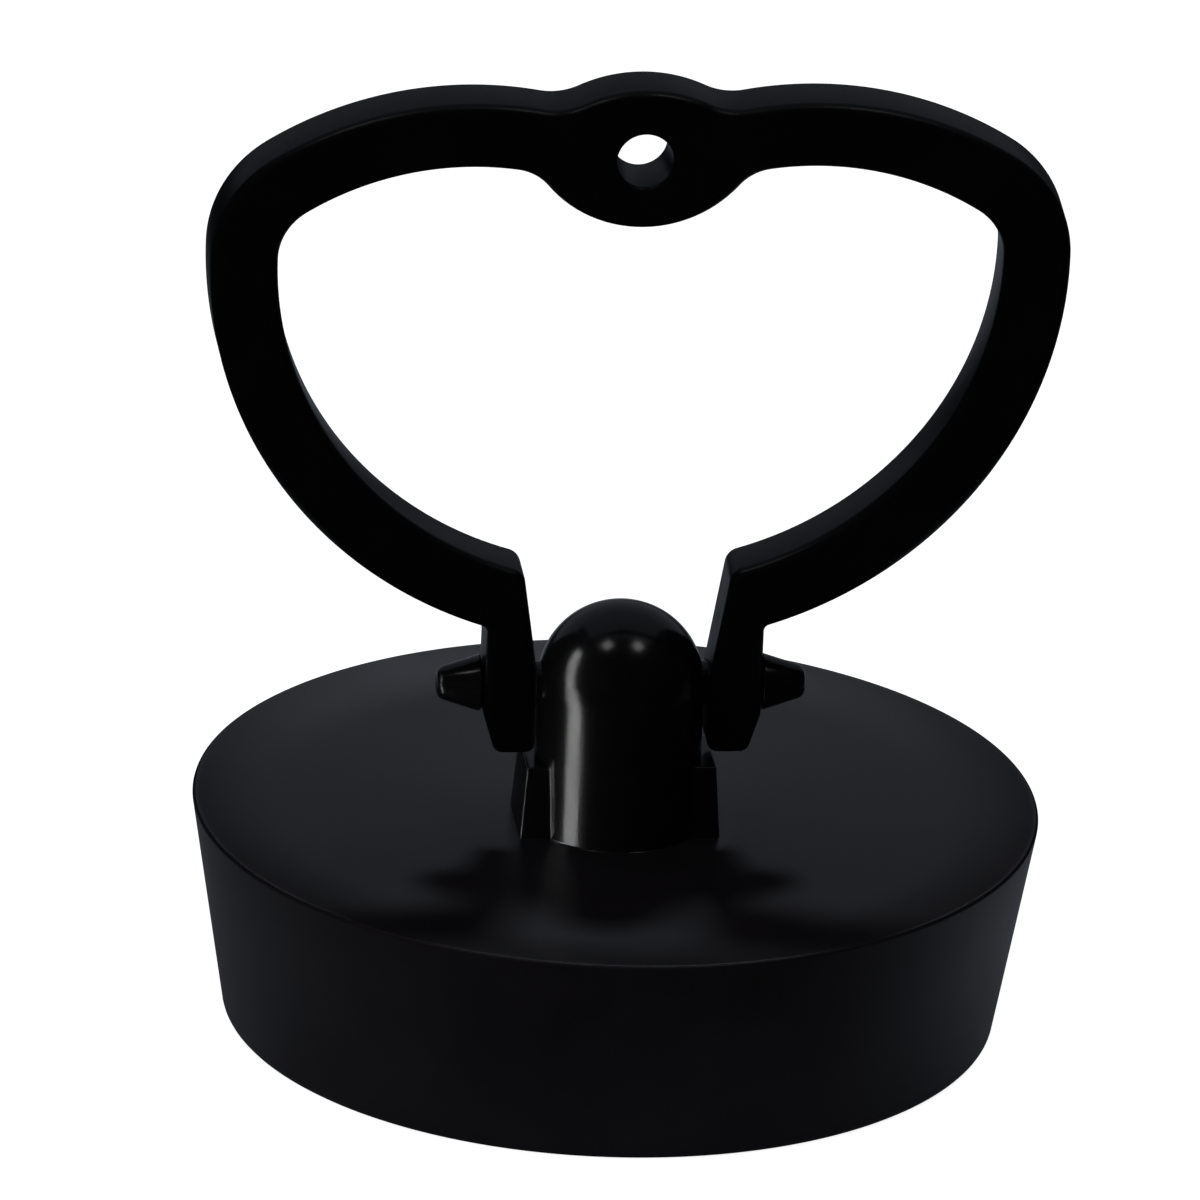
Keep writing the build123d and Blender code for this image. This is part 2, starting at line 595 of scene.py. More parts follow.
@dataclass(frozen=True, kw_only=True)
class BlackPlastic(MouldedSkin):
    """Hard black plastic, with a slight haze in patches and upright handling marks in its gloss."""

    patches: Pattern = Pattern(0.004, 5)
    colour_edges: Span = (0.35, 0.7)
    swells: Pattern = Pattern(0.0028, 1)
    grain: Pattern = Pattern(0.00025, 2)
    grain_depth: float = 0.0000008
    marks: Pattern = Pattern(0.0006, 4, (1, 1, 9))
    mark_edges: Span = (0.58, 0.75)
    mark_roughness: float = 0.12

    def _roughness(self, nodes: SkinNodes, patches: bpy.types.NodeSocket) -> bpy.types.NodeSocket:
        """The roughness, which follows the patches and is higher in the marks.

        Args:
            nodes: The material's nodes.
            patches: The value of the patches.

        Returns:
            The roughness.
        """
        marks = nodes.ranged(nodes.noise(self.marks), self.mark_edges, (0, 1))
        marked = nodes.sum(Sum.TIMES, marks, patches, self.mark_roughness)
        return nodes.sum(Sum.PLUS, super()._roughness(nodes, patches), marked)


@dataclass
class Moulding:
    """One moulded piece of the stopper. Each kind says which node and body of the frame it has, and names a
    slot that the piece is not given.
    """

    node: ClassVar[str]
    body: ClassVar[Body]
    slot: ClassVar[Slot]

    def dress(self, piece: bpy.types.Object, finish: MouldedSkin) -> None:
        """Gives the built piece its finish and its place in the frame.

        Args:
            piece: The piece, as build made it.
            finish: The finish of its whole surface.
        """
        smooth_shaded(piece)
        piece.data.materials.clear()
        piece.data.materials.append(finish.build())
        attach(piece, self.body.value)
        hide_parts(self.node)


@dataclass
class RubberPlug(Moulding):
    """The tapered rubber disc, with its dish, its bore and the recess under it. Sizes in millimetres."""

    node: ClassVar[str] = "rubber_plug"
    body: ClassVar[Body] = Body.PLUG
    slot: ClassVar[Slot] = Slot.PLUG_RUBBER

    top_radius: float = 22.57
    bottom_radius: float = 20.5
    thickness: float = 12.0
    top_round: float = 0.16
    bottom_round: float = 0.5
    dish_depth: float = 1.15
    lip_bend_radius: float = 19.84
    lip_bend_drop: float = 0.53
    lip_curve: float = 32.0
    seat_radius: float = 6.5
    bore_radius: float = 3.35
    recess_radius: float = 7.5
    recess_depth: float = 5.0
    recess_round: float = 0.5
    end_strip: float = 0.08
    turns: int = 240
    round_steps: int = 6
    lip_steps: int = 16
    wall_steps: int = 6

    def build(self) -> bpy.types.Object:
        """Turns the plug's closed profile once round its axis.

        Returns:
            The plug as one closed piece.
        """
        bm = bmesh.new()
        seat = Vector((self.seat_radius, self.thickness - self.dish_depth))
        rim = Vector((self.top_radius, self.thickness))
        bend = Vector((self.lip_bend_radius, self.thickness - self.lip_bend_drop))
        foot = Vector((self.bottom_radius, 0))
        mouth = Vector((self.recess_radius, 0))
        ceiling = Vector((self.recess_radius, self.recess_depth))

        pen = Pen(bm, (self.bore_radius, self.recess_depth))
        pen.line((self.bore_radius, seat.y), seat)
        lip_start, lip, lip_end = rounded_corner(seat, bend, rim, self.lip_curve)
        self._run(pen, lip_start)
        pen.arc(lip, lip_end, self.lip_steps, clockwise=False)
        pen.corner(bend, rim, foot, self.top_round, self.round_steps)
        corners = ((rim, foot, mouth, self.bottom_round), (foot, mouth, ceiling, self.recess_round))
        for before, corner, after, radius in corners:
            start, circle, end = rounded_corner(before, corner, after, radius)
            self._run(pen, start)
            pen.arc(circle, end, self.round_steps, clockwise=True)
        pen.line(ceiling)
        pen.close()
        full_turn(bm, UP, self.turns)
        return to_metres(bm, "rubber_plug_moulding")

    def _run(self, pen: Pen, to: Vector) -> None:
        """Draws a long straight run with a narrow strip at each end, which keeps its slope up to them.

        Args:
            pen: The pen, at the run's start.
            to: The run's end.
        """
        start = pen.place
        strip = self.end_strip / (to - start).length
        shares = (strip, *(step / self.wall_steps for step in range(1, self.wall_steps)), 1 - strip)
        pen.line(*(start.lerp(to, share) for share in shares), to)


@dataclass
class Post(Moulding):
    """The domed post with its wings, hinge stubs, stem and foot: one hard moulding. Sizes in millimetres."""

    node: ClassVar[str] = "post"
    body: ClassVar[Body] = Body.PLUG
    slot: ClassVar[Slot] = Slot.POST_PLASTIC

    radius: float = 4.45
    hinge_height: float = 18.85
    seat_height: float = 10.85
    skirt: float = 0.06
    stem_radius: float = 3.3
    stem_end: float = 4.95
    foot_radius: float = 5.3
    foot_rim: float = 0.9
    foot_tip_radius: float = 3.1
    foot_bottom: float = 0.9
    core_radius: float = 1.5
    core_top: float = 8.9
    parting_height: float = 15.2
    parting_depth: float = 0.012
    parting_width: float = 0.08
    end_strip: float = 0.06
    wing_reach: float = 5.35
    wing_half_depth: float = 2.5
    wing_top: float = 14.826
    wing_corner: float = 0.16
    wing_draft: float = 4.0
    wing_top_round: float = 0.1
    wing_root_share: float = 0.8
    root_overlap_share: float = 0.002
    crease_round: float = 0.1
    stub_radius: float = 1.15
    stub_start: float = 3.6
    barb_start: float = 7.5
    barb_length: float = 2.35
    barb_radius: float = 1.55
    barb_tip_radius: float = 0.8
    barb_tip_round: float = 0.55
    edge_round: float = 0.12
    turns: int = 160
    dome_steps: int = 36
    skirt_steps: int = 6
    foot_steps: int = 3
    crease_steps: int = 5
    corner_steps: int = 8
    top_steps: int = 4
    stub_turns: int = 64
    barb_rim_steps: int = 4
    barb_tip_steps: int = 6

    def build(self) -> bpy.types.Object:
        """Builds the post's column and joins its wings and stubs to it."""
        parts = [self._wing(side) for side in Side] + [self._stub(side) for side in Side]
        return combined(self._column(), parts, Joining.ADDED)

    def _column(self) -> bpy.types.Object:
        """Turns the column, dome, stem and foot round the upright axis.

        Returns:
            The column as a closed solid.
        """
        bm = bmesh.new()
        wall = self.radius
        dome = Circle(0, self.hinge_height, wall)
        skirt_top = self.seat_height + self.skirt
        skirt = Circle(wall + self.skirt, skirt_top, self.skirt)
        groove_top = self.parting_height + self.parting_width
        groove_foot = self.parting_height - self.parting_width
        pen = Pen(bm, (0, self.hinge_height + wall))
        pen.arc(dome, (wall, self.hinge_height), self.dome_steps, clockwise=True)
        pen.line(
            (wall, groove_top + self.end_strip),
            (wall, groove_top),
            (wall - self.parting_depth, self.parting_height),
            (wall, groove_foot),
            (wall, groove_foot - self.end_strip),
            (wall, skirt_top + self.end_strip),
            (wall, skirt_top),
        )
        pen.arc(skirt, (wall + self.skirt, self.seat_height), self.skirt_steps, clockwise=False)

        stem_end = Vector((self.stem_radius, self.stem_end))
        foot_edge = Vector((self.foot_radius, self.stem_end))
        cone_top = Vector((self.foot_radius, self.stem_end - self.foot_rim))
        foot_tip = Vector((self.foot_tip_radius, self.foot_bottom))
        core_rim = Vector((self.core_radius, self.foot_bottom))
        pen.line((self.stem_radius, self.seat_height), stem_end)
        path = (stem_end, foot_edge, cone_top, foot_tip, core_rim)
        for before, corner, after in zip(path, path[1:], path[2:]):
            pen.corner(before, corner, after, self.edge_round, self.foot_steps)
        pen.line(core_rim, (self.core_radius, self.core_top), (0, self.core_top))
        full_turn(bm, UP, self.turns)
        return to_metres(bm, "post_moulding")

    def _wing_outline(self, bm: bmesh.types.BMesh, height: float, inset: float) -> None:
        """Draws one wing's outline at a height, with the crease to the column rounded.

        Args:
            bm: The mesh to draw in.
            height: Height of the section above the plug's underside.
            inset: How far the section is drawn in by the rounding of the wing's top.
        """
        drawn_in = (height - self.seat_height) * math.tan(math.radians(self.wing_draft)) + inset
        reach = self.wing_reach - drawn_in
        depth = self.wing_half_depth - drawn_in
        crease_round = self.crease_round + inset
        crease_up = depth + crease_round
        crease_across = math.sqrt((self.radius + crease_round) ** 2 - crease_up**2)
        crease = Circle(crease_across, -crease_up, crease_round)
        touch = crease.towards(Vector((0, 0))) * (1 - self.root_overlap_share)
        inside = touch * self.wing_root_share
        start = Vector((crease_across, -depth))
        first, corner, last = rounded_corner(
            start, Vector((reach, -depth)), Vector((reach, 0)), self.wing_corner - inset
        )

        before = set(bm.verts)
        pen = Pen(bm, inside)
        pen.line(touch)
        pen.arc(crease, start, self.crease_steps, clockwise=True)
        pen.line(first)
        pen.arc(corner, last, self.corner_steps, clockwise=False)
        pen.line(flipped(last))
        pen.arc(corner.flipped(), flipped(first), self.corner_steps, clockwise=False)
        pen.line(flipped(start))
        pen.arc(crease.flipped(), flipped(touch), self.crease_steps, clockwise=True)
        pen.line(flipped(inside))
        pen.close()
        for vert in [v for v in bm.verts if v not in before]:
            vert.co = Vector((vert.co.x, vert.co.z, height))

    def _wing(self, side: Side) -> bpy.types.Object:
        """Lofts one drafted wing from the seat up to its rounded top.

        Args:
            side: The side of the column that the wing is on.

        Returns:
            The wing as a closed solid that reaches into the column.
        """
        bm = bmesh.new()
        self._wing_outline(bm, self.seat_height, 0)
        for step in range(self.top_steps + 1):
            turn = math.radians(90 * step / self.top_steps)
            drop = self.wing_top_round * (1 - math.sin(turn))
            self._wing_outline(bm, self.wing_top - drop, self.wing_top_round * (1 - math.cos(turn)))
        bmesh.ops.bridge_loops(bm, edges=bm.edges[:])
        bmesh.ops.holes_fill(bm, edges=[e for e in bm.edges if e.is_boundary], sides=0)
        bmesh.ops.recalc_face_normals(bm, faces=bm.faces[:])
        if side is Side.LEFT:
            turned(bm, 180, "Z")
        return to_metres(bm, f"wing_{side.value}")

    def _stub(self, side: Side) -> bpy.types.Object:
        """Turns one hinge stub with its tapered barb round the hinge's axis.

        Args:
            side: The side of the column that the stub is on.

        Returns:
            The stub as a closed solid that starts inside the column.
        """
        bm = bmesh.new()
        shank = Vector((self.barb_start, self.stub_radius))
        face = Vector((self.barb_start, self.barb_radius))
        tip = Vector((self.barb_start + self.barb_length, self.barb_tip_radius))
        end = Vector((self.barb_start + self.barb_length, 0))
        pen = Pen(bm, (self.stub_start, 0))
        pen.line((self.stub_start, self.stub_radius), shank)
        pen.corner(shank, face, tip, self.edge_round, self.barb_rim_steps)
        pen.corner(face, tip, end, self.barb_tip_round, self.barb_tip_steps)
        pen.line(end)
        full_turn(bm, ALONG_HINGE, self.stub_turns)
        if side is Side.LEFT:
            turned(bm, 180, "Z")
        lifted(bm, self.hinge_height)
        return to_metres(bm, f"stub_{side.value}")


@dataclass
class HeartBail(Moulding):
    """The heart-shaped bail with its chain eye and ears: one flat moulding.

    Sizes are in millimetres, heights from the hinge up. Three steps are for the crown, shoulder and side.
    """

    node: ClassVar[str] = "heart_bail"
    body: ClassVar[Body] = Body.BAIL
    slot: ClassVar[Slot] = Slot.BAIL_PLASTIC

    hinge_height: float = 18.85
    width: float = 45.8
    half_thickness: float = 1.8
    half_bar: float = 1.8
    edge_round: float = 0.5
    crown_height: float = 31.9
    crown_offset_share: float = 0.43
    crown_angle: float = 32.7
    shoulder_radius: float = 4.9
    side_radius: float = 20.4
    eye_tip_x: float = 6.3
    eye_above_bar: float = 2.9
    eye_below_bar: float = 0.7
    eye_tip_drop: float = 0.5
    eye_top_blend: float = 3.4
    eye_bottom_blend: float = 2.6
    chain_hole_radius: float = 1.5
    chain_hole_below_top: float = 3.9
    chain_hole_edge: float = 0.2
    ear_inside: float = 4.6
    ear_thickness: float = 2.8
    ear_drop: float = 3.45
    ear_taper_drop: float = 1.3
    ear_narrowing: float = 0.65
    ear_flare: float = 0.95
    ear_flare_start: float = 0.9
    elbow_round: float = 0.9
    notch_round: float = 0.35
    ear_corner_round: float = 0.55
    stub_hole_radius: float = 1.2
    past_middle: float = 0.8
    rim_steps: int = 6
    boss_steps: int = 16
    blend_steps: int = 10
    outer_steps: tuple[int, int, int] = (44, 20, 56)
    inner_steps: tuple[int, int, int] = (36, 16, 48)
    notch_steps: int = 6
    ear_corner_steps: int = 8
    hole_edge_steps: int = 5
    chain_hole_turns: int = 96
    stub_hole_turns: int = 64

    def build(self) -> bpy.types.Object:
        """Presses the half outline into a solid with rounded rims, mirrors it and cuts its three holes.

        Returns:
            The bail as one closed piece.
        """
        bm = bmesh.new()
        face = self._outline(bm)
        pressed = bmesh.ops.extrude_face_region(bm, geom=[face])
        moved = [g for g in pressed["geom"] if isinstance(g, bmesh.types.BMVert)]
        cap = next(g for g in pressed["geom"] if isinstance(g, bmesh.types.BMFace))
        bmesh.ops.translate(bm, verts=moved, vec=(0, self.edge_round - self.half_thickness, 0))
        if face.is_valid:
            bmesh.ops.delete(bm, geom=[face], context="FACES_ONLY")
        cap.normal_update()
        if cap.normal.y > 0:
            bmesh.ops.reverse_faces(bm, faces=bm.faces[:])
        rounded_rim(bm, cap, self.edge_round, self.rim_steps)
        self._mirrored(bm)
        lifted(bm, self.hinge_height)
        bail = to_metres(bm, "heart_bail_moulding")
        return combined(bail, [self._chain_hole(), self._stub_hole()], Joining.CUT_OUT)

    def _mirrored(self, bm: bmesh.types.BMesh) -> None:
        """Cuts the right front part at the middle plane and mirrors it to the back and to the left.

        Args:
            bm: The bail's mesh.
        """
        bmesh.ops.bisect_plane(
            bm,
            geom=bm.verts[:] + bm.edges[:] + bm.faces[:],
            plane_co=ORIGIN,
            plane_no=ALONG_HINGE,
            clear_inner=True,
        )
        for axis in ("Y", "X"):
            everything = bm.verts[:] + bm.edges[:] + bm.faces[:]
            bmesh.ops.mirror(bm, geom=everything, axis=axis, merge_dist=MERGE_MILLIMETRES)
        bmesh.ops.remove_doubles(bm, verts=bm.verts[:], dist=MERGE_MILLIMETRES)
        bmesh.ops.recalc_face_normals(bm, faces=bm.faces[:])

    def _bar_edge(self, offset: float) -> tuple[Circle, Circle, Circle]:
        """The circles that a line along the bar's right half follows.

        Args:
            offset: How far outside the bar's middle line the line runs.

        Returns:
            The circles of its crown, its shoulder and its side.
        """
        widest = self.width / 2 - self.half_bar
        angle = math.radians(self.crown_angle)
        crown_x = self.crown_offset_share * widest
        crown_radius = self.shoulder_radius + (widest - self.shoulder_radius - crown_x) / math.sin(angle)
        crown = Circle(crown_x, self.crown_height - crown_radius, crown_radius)
        shoulder_up = crown.up + (crown_radius - self.shoulder_radius) * math.cos(angle)
        shoulder = Circle(widest - self.shoulder_radius, shoulder_up, self.shoulder_radius)
        side = Circle(widest - self.side_radius, shoulder_up, self.side_radius)
        return crown.grown(offset), shoulder.grown(offset), side.grown(offset)

    def _crown_end(self, crown: Circle) -> Vector:
        """The point where a crown circle passes into its shoulder circle."""
        angle = math.radians(self.crown_angle)
        return crown.centre + Vector((math.sin(angle), math.cos(angle))) * crown.radius

    def _boss_arc(self, middle: float) -> Circle:
        """Finds the circle through the boss's two side tips and a point of the middle plane.

        Args:
            middle: Height of the point above the hinge.

        Returns:
            The circle.
        """
        tip_up = self._bar_edge(0)[0].above(self.eye_tip_x).y - self.eye_tip_drop
        rise = middle - tip_up
        radius = (self.eye_tip_x**2 + rise**2) / (2 * abs(rise))
        return Circle(0, middle - math.copysign(radius, rise), radius)

    def _outline(self, bm: bmesh.types.BMesh) -> bmesh.types.BMFace:
        """Draws the outline of the bail's right half, carried a little past the middle plane.

        Args:
            bm: The mesh to draw in.

        Returns:
            The face inside the outline.
        """
        crown, _, _ = self._bar_edge(self.half_bar)
        boss = self._boss_arc(crown.above(0).y + self.eye_above_bar)
        pen = Pen(bm, boss.above(-self.past_middle))
        self._draw_outer_edge(pen, boss)
        self._draw_ear(pen)
        self._draw_inner_edge(pen)
        return pen.fill()

    def _draw_outer_edge(self, pen: Pen, boss: Circle) -> None:
        """Draws the boss's top, its blend into the crown and the bar's outer edge down to the ear.

        Args:
            pen: The pen, on the boss's top.
            boss: The circle of the boss's top.
        """
        crown, shoulder, side = self._bar_edge(self.half_bar)
        crown_steps, shoulder_steps, side_steps = self.outer_steps
        radius = self.eye_top_blend
        blend_at = circles_meet(boss.grown(radius), crown.grown(radius), Side.LEFT)
        blend = Circle(blend_at.x, blend_at.y, radius)
        ear_outside = self.ear_inside + self.ear_thickness
        notch_x = ear_outside + self.notch_round
        notch = Circle(notch_x, side.grown(self.notch_round).below(notch_x).y, self.notch_round)
        pen.arc(boss, boss.towards(blend_at), self.boss_steps, clockwise=True)
        pen.arc(blend, crown.towards(blend_at), self.blend_steps, clockwise=False)
        pen.arc(crown, self._crown_end(crown), crown_steps, clockwise=True)
        pen.arc(shoulder, (shoulder.across + shoulder.radius, shoulder.up), shoulder_steps, clockwise=True)
        pen.arc(side, side.towards(notch.centre), side_steps, clockwise=True)
        pen.arc(notch, (ear_outside, notch.up), self.notch_steps, clockwise=False)

    def _draw_ear(self, pen: Pen) -> None:
        """Draws the ear, its outer side drawn in towards its end, and the elbow above its flared inner side.

        Args:
            pen: The pen, at the top of the ear's outer side.
        """
        ear_outside = self.ear_inside + self.ear_thickness
        slope_start = Vector((ear_outside, -self.ear_taper_drop))
        low_out = Vector((ear_outside - self.ear_narrowing, -self.ear_drop))
        low_in = Vector((self.ear_inside, -self.ear_drop))
        flare_start = Vector((self.ear_inside, self.ear_flare_start))
        pen.line(slope_start)
        for before, corner, after in ((slope_start, low_out, low_in), (low_out, low_in, flare_start)):
            pen.corner(before, corner, after, self.ear_corner_round, self.ear_corner_steps)
        pen.line(flare_start)
        elbow_start, elbow, elbow_end = self._elbow(flare_start)
        pen.line(elbow_start)
        pen.arc(elbow, elbow_end, self.blend_steps, clockwise=True)

    def _elbow(self, flare_start: Vector) -> Arc:
        """Rounds the corner between the ear's flared side and the bar's inner edge.

        Args:
            flare_start: The flare's lower end.

        Returns:
            The arc's first point, its circle and its last point.
        """
        bar = self._bar_edge(-self.half_bar)[2]
        flare_end = bar.below(self.ear_inside + self.ear_flare)
        along = (flare_end - flare_start).normalized()
        inwards = Vector((along.y, -along.x))
        offset_start = flare_start + inwards * self.elbow_round - bar.centre
        reach = bar.radius + self.elbow_round
        half = offset_start.dot(along)
        run = -half + math.sqrt(half**2 - offset_start.length_squared + reach**2)
        if (offset_start + along * run).y > 0:
            run = -half - math.sqrt(half**2 - offset_start.length_squared + reach**2)
        middle = bar.centre + offset_start + along * run
        circle = Circle(middle.x, middle.y, self.elbow_round)
        return middle - inwards * self.elbow_round, circle, bar.towards(middle)

    def _draw_inner_edge(self, pen: Pen) -> None:
        """Draws the bar's inner edge back up to the boss, and the boss's underside.

        Args:
            pen: The pen, at the end of the elbow.
        """
        crown, shoulder, side = self._bar_edge(-self.half_bar)
        crown_steps, shoulder_steps, side_steps = self.inner_steps
        boss = self._boss_arc(crown.above(0).y - self.eye_below_bar)
        blend = self.eye_bottom_blend
        dip_at = circles_meet(crown.grown(-blend), boss.grown(blend), Side.RIGHT)
        dip = Circle(dip_at.x, dip_at.y, blend)
        pen.arc(side, (side.across + side.radius, side.up), side_steps, clockwise=False)
        pen.arc(shoulder, self._crown_end(crown), shoulder_steps, clockwise=False)
        pen.arc(crown, crown.towards(dip_at), crown_steps, clockwise=False)
        pen.arc(dip, boss.towards(dip_at), self.blend_steps, clockwise=False)
        pen.arc(boss, boss.below(-self.past_middle), self.boss_steps, clockwise=True)

    def _chain_hole(self) -> bpy.types.Object:
        """Turns the cutter for the chain eye, flared at both faces to round the hole's rims.

        Returns:
            The cutter.
        """
        crown_top = self._bar_edge(self.half_bar)[0].above(0).y
        height = self.hinge_height + crown_top + self.eye_above_bar - self.chain_hole_below_top
        radius, edge, face = self.chain_hole_radius, self.chain_hole_edge, self.half_thickness
        flare = radius + edge
        shoulder = face - edge
        beyond = face + self.edge_round
        bm = bmesh.new()
        pen = Pen(bm, (0, -beyond))
        pen.line((flare, -beyond), (flare, -face))
        pen.arc(Circle(flare, -shoulder, edge), (radius, -shoulder), self.hole_edge_steps, clockwise=True)
        pen.line((radius, shoulder))
        pen.arc(Circle(flare, shoulder, edge), (flare, face), self.hole_edge_steps, clockwise=True)
        pen.line((flare, beyond), (0, beyond))
        full_turn(bm, UP, self.chain_hole_turns)
        turned(bm, 90, "X")
        lifted(bm, height)
        return to_metres(bm, "chain_hole")

    def _stub_hole(self) -> bpy.types.Object:
        """Makes the cutter that runs through both ears for the hinge stubs.

        Returns:
            The cutter.
        """
        bm = bmesh.new()
        bmesh.ops.create_cone(
            bm,
            cap_ends=True,
            segments=self.stub_hole_turns,
            radius1=self.stub_hole_radius,
            radius2=self.stub_hole_radius,
            depth=self.width / 2,
        )
        turned(bm, 90, "Y")
        lifted(bm, self.hinge_height)
        return to_metres(bm, "stub_hole")


def direction(azimuth: float, elevation: float) -> Vector:
    """The unit vector towards a direction given in degrees, where azimuth 0 is -Y and azimuth 90 is +X."""
    a, e = math.radians(azimuth), math.radians(elevation)
    return Vector((math.sin(a) * math.cos(e), -math.cos(a) * math.cos(e), math.sin(e)))


def standing(place: Vector, x_axis: Vector, y_axis: Vector, z_axis: Vector) -> Matrix:
    """The matrix of an object that stands at a place with the given axes."""
    turn = Matrix((x_axis, y_axis, z_axis)).transposed().to_4x4()
    return Matrix.Translation(place) @ turn


@dataclass(frozen=True)
class PhotoCamera:
    """The camera at the photograph's angle. Angles in degrees and lengths in metres."""

    azimuth: float = -6.82
    elevation: float = 22.73
    roll: float = 2.37
    distance: float = 2.2
    frame_width: float = 0.063878
    pivot_height: float = 0.01196
    aim_right: float = -0.000826
    aim_up: float = 0.010712
    sensor: float = 36.0
    nearest: float = 0.01
    farthest: float = 20.0

    def build(self) -> None:
        """Makes the camera and gives it to the scene."""
        pivot = UP * self.pivot_height
        away = direction(self.azimuth, self.elevation)
        right = Matrix.Rotation(math.radians(self.roll), 3, away) @ UP.cross(away).normalized()
        aim = pivot + right * self.aim_right + away.cross(right) * self.aim_up
        place = pivot + away * self.distance
        back = (place - aim).normalized()
        up = back.cross(right).normalized()
        data = bpy.data.cameras.new("photo_camera")
        data.sensor_width = self.sensor
        data.lens = self.sensor * self.distance / self.frame_width
        data.clip_start = self.nearest
        data.clip_end = self.farthest
        camera = bpy.data.objects.new("photo_camera", data)
        camera.matrix_world = standing(place, up.cross(back), up, back)
        bpy.context.scene.collection.objects.link(camera)
        bpy.context.scene.camera = camera


@dataclass(frozen=True)
class Softbox:
    """A rectangular studio lamp that faces the object. Angles in degrees, lengths in metres.

    The lamp runs lengthwise from its low end to its high end, each a direction from the object. Its radiance
    is what a mirror would show of it, where 1 is white.
    """

    name: str
    low: Span
    high: Span
    distance: float
    width: float
    radiance: float
    in_gloss: bool = True
    colour: Colour = (1, 1, 1)
    aim_height: float = 0.015

    def build(self) -> bpy.types.Object:
        """Makes the lamp.

        Returns:
            The lamp.
        """
        aim = UP * self.aim_height
        low = aim + direction(*self.low) * self.distance
        high = aim + direction(*self.high) * self.distance
        length = (high - low).length
        along = (high - low) / length
        middle = (low + high) / 2
        away = middle - aim
        away = (away - along * away.dot(along)).normalized()
        data = bpy.data.lights.new(self.name, "AREA")
        data.shape = "RECTANGLE"
        data.size = self.width
        data.size_y = length
        data.energy = self.radiance * math.pi * self.width * length
        data.color = self.colour
        lamp = bpy.data.objects.new(self.name, data)
        lamp.matrix_world = standing(middle, along.cross(away), along, away)
        lamp.visible_camera = False
        lamp.visible_glossy = self.in_gloss
        bpy.context.scene.collection.objects.link(lamp)
        return lamp


